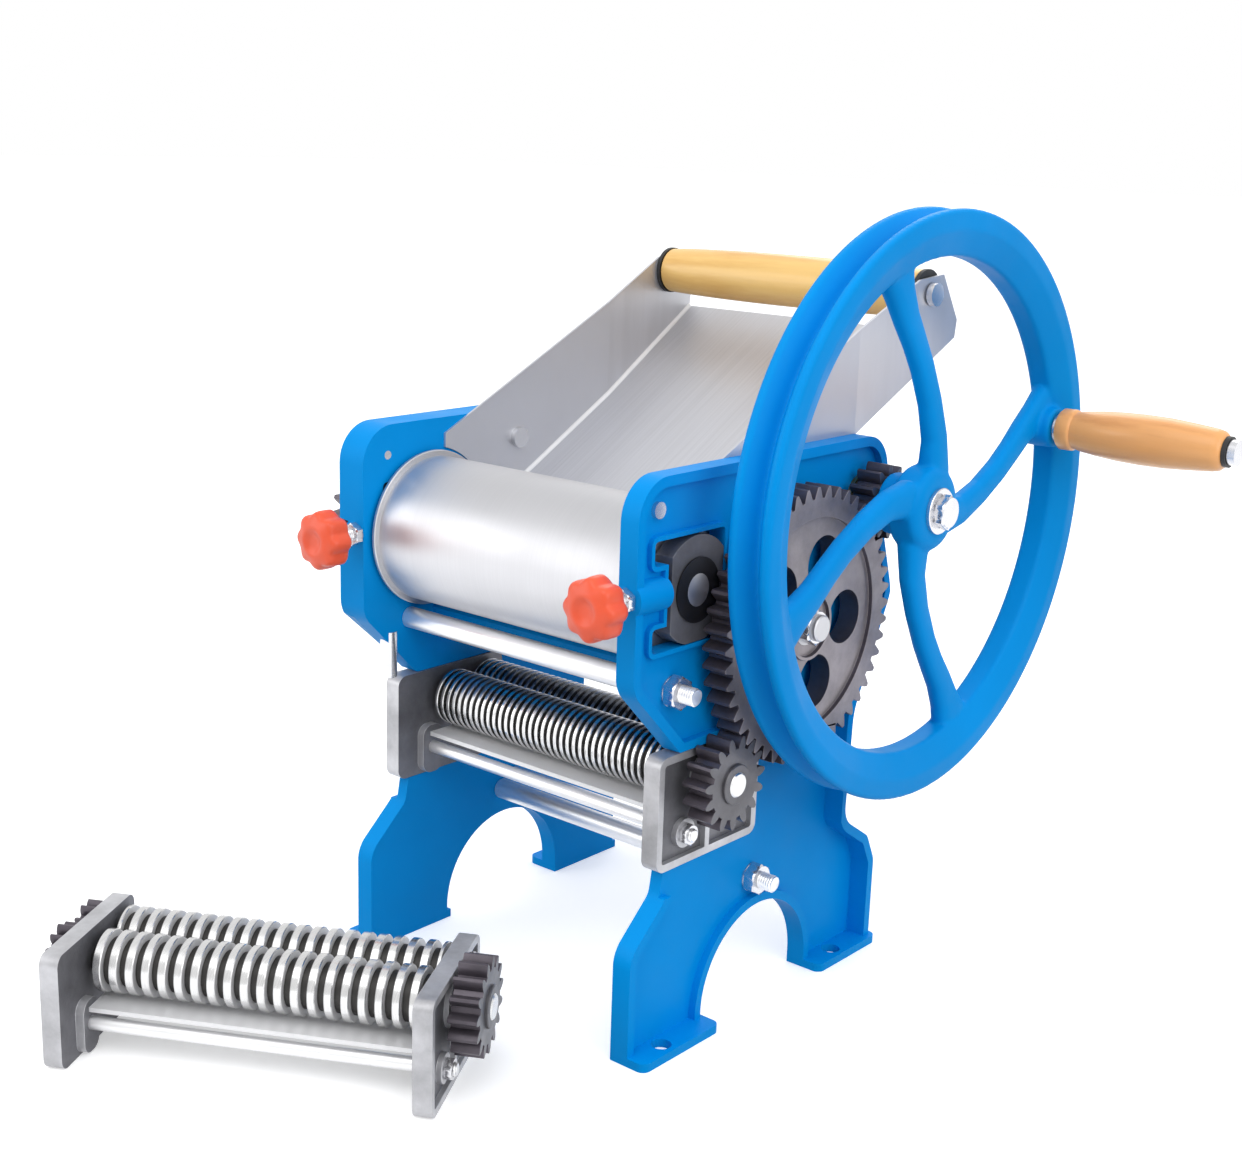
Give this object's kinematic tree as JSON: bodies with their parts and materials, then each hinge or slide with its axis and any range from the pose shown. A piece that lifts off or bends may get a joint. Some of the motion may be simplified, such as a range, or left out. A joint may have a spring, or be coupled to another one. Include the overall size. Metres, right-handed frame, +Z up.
{
  "type": "noodle press",
  "caption": "Hand cranked table-top noodle press: spoked flywheel, geared smooth rollers under an inclined hopper, a removable cutting block and a spare cutting block beside it.",
  "frame": {"origin": "on the table, at the centre of the four foot bolt holes", "axes": "+X towards the hand wheel, +Y to the back, +Z up"},
  "size_m": [0.3481, 0.4619, 0.3587],
  "materials": {
    "blue_paint": "bright blue enamel on cast iron",
    "sheet_steel": "brushed sheet",
    "bar_wood": "turned and varnished",
    "grip_wood": "turned and varnished",
    "black_plastic": "matt",
    "bright_steel": "zinc plated",
    "dark_steel": "blackened",
    "roller_chrome": "ground and plated",
    "gear_iron": "as cast, oiled",
    "block_iron": "gray hammered finish",
    "bronze": "plain bearing bronze",
    "orange_plastic": "moulded"
  },
  "bodies": {
    "frame": {"left_side_plate": "blue_paint", "right_side_plate": "blue_paint", "cross_plate": "blue_paint", "upper_tie_rod": "bright_steel", "lower_tie_rod": "bright_steel", "lower_guide_rod": "dark_steel", "tie_rod_nuts": "bright_steel", "hopper_chute": "sheet_steel", "hopper_bar": "bar_wood", "hopper_bar_rings": "black_plastic", "hopper_screws": "bright_steel", "plate_screws": "bright_steel", "rear_roller_bushes": "bronze", "drive_shaft_bushes": "bronze", "block_clamp_screw": "bright_steel"},
    "rear_roller_body": {"rear_roller": "roller_chrome", "big_gear": "gear_iron", "rear_sync_gear": "gear_iron", "big_gear_nut": "bright_steel"},
    "wheel_body": {"hand_wheel": "blue_paint", "drive_shaft": "bright_steel", "pinion": "gear_iron", "wheel_bolt": "bright_steel", "handle_spindle": "bright_steel"},
    "grip_body": {"handle_grip": "grip_wood", "handle_washer": "black_plastic"},
    "roller_carriage": {"left_bearing_block": "block_iron", "right_bearing_block": "block_iron"},
    "front_roller_body": {"front_roller": "roller_chrome", "front_sync_gear": "gear_iron", "front_shaft_washer": "dark_steel"},
    "left_knob_body": {"left_knob": "orange_plastic", "left_knob_screw": "bright_steel"},
    "right_knob_body": {"right_knob": "orange_plastic", "right_knob_screw": "bright_steel"},
    "fine_block": {"fine_left_end_plate": "block_iron", "fine_right_end_plate": "block_iron", "fine_tie_rods": "bright_steel", "fine_block_nuts": "bright_steel", "fine_front_scraper": "bright_steel", "fine_rear_scraper": "bright_steel"},
    "fine_front_body": {"fine_front_cutter": "roller_chrome", "fine_drive_gear": "gear_iron", "fine_front_sync_gear": "gear_iron"},
    "fine_rear_body": {"fine_rear_cutter": "roller_chrome", "fine_rear_sync_gear": "gear_iron"},
    "wide_block": {"wide_left_end_plate": "block_iron", "wide_right_end_plate": "block_iron", "wide_tie_rods": "bright_steel", "wide_block_nuts": "bright_steel", "wide_front_scraper": "bright_steel", "wide_rear_scraper": "bright_steel"},
    "wide_front_body": {"wide_front_cutter": "roller_chrome", "wide_drive_gear": "gear_iron", "wide_front_sync_gear": "gear_iron"},
    "wide_rear_body": {"wide_rear_cutter": "roller_chrome", "wide_rear_sync_gear": "gear_iron"}
  },
  "joints": [
    {"name": "hand_wheel_spin", "type": "hinge", "parent": "frame", "child": "wheel_body", "pos_m": [0, 0.07427, 0.22601], "axis": [1, 0, 0], "continuous": true},
    {"name": "rear_roller_spin", "type": "hinge", "parent": "frame", "child": "rear_roller_body", "pos_m": [0, 0.0164, 0.1783], "axis": [1, 0, 0], "continuous": true},
    {"name": "roller_gap", "type": "slide", "parent": "frame", "child": "roller_carriage", "axis": [0, -1, 0], "range_m": [0, 0.002]},
    {"name": "front_roller_spin", "type": "hinge", "parent": "roller_carriage", "child": "front_roller_body", "pos_m": [0, -0.04882, 0.20373], "axis": [1, 0, 0], "continuous": true},
    {"name": "left_knob_turn", "type": "hinge", "parent": "frame", "child": "left_knob_body", "pos_m": [-0.0805, -0.1, 0.2055], "axis": [0, -1, 0], "range_deg": [0, 480]},
    {"name": "right_knob_turn", "type": "hinge", "parent": "frame", "child": "right_knob_body", "pos_m": [0.0805, -0.1, 0.2055], "axis": [0, -1, 0], "range_deg": [0, 480]},
    {"name": "handle_grip_spin", "type": "hinge", "parent": "wheel_body", "child": "grip_body", "pos_m": [0.168, 0.17835, 0.25292], "axis": [1, 0, 0], "continuous": true},
    {"name": "fine_block_pull", "type": "slide", "parent": "frame", "child": "fine_block", "axis": [0, -1, 0], "range_m": [0, 0.11]},
    {"name": "fine_front_cutter_spin", "type": "hinge", "parent": "fine_block", "child": "fine_front_body", "pos_m": [0, -0.03443, 0.11815], "axis": [1, 0, 0], "continuous": true},
    {"name": "fine_rear_cutter_spin", "type": "hinge", "parent": "fine_block", "child": "fine_rear_body", "pos_m": [0, -0.01043, 0.11815], "axis": [1, 0, 0], "continuous": true},
    {"name": "wide_block_lift", "type": "slide", "parent": "frame", "child": "wide_block", "axis": [0, -0.8, 0.6], "range_m": [0, 0.2]},
    {"name": "wide_front_cutter_spin", "type": "hinge", "parent": "wide_block", "child": "wide_front_body", "pos_m": [-0.03203, -0.18428, 0.03615], "axis": [0.8704, 0.4924, 0], "continuous": true},
    {"name": "wide_rear_cutter_spin", "type": "hinge", "parent": "wide_block", "child": "wide_rear_body", "pos_m": [-0.04385, -0.16339, 0.03615], "axis": [0.8704, 0.4924, 0], "continuous": true}
  ],
  "couplings": [
    {"joint": "rear_roller_spin", "follows": "hand_wheel_spin", "ratio": -0.25},
    {"joint": "front_roller_spin", "follows": "hand_wheel_spin", "ratio": 0.25},
    {"joint": "fine_front_cutter_spin", "follows": "hand_wheel_spin", "ratio": 0.8},
    {"joint": "fine_rear_cutter_spin", "follows": "hand_wheel_spin", "ratio": -0.8},
    {"joint": "left_knob_turn", "follows": "roller_gap", "rad_per_m": 4188.8},
    {"joint": "right_knob_turn", "follows": "roller_gap", "rad_per_m": 4188.8},
    {"joint": "wide_rear_cutter_spin", "follows": "wide_front_cutter_spin", "ratio": -1}
  ]
}
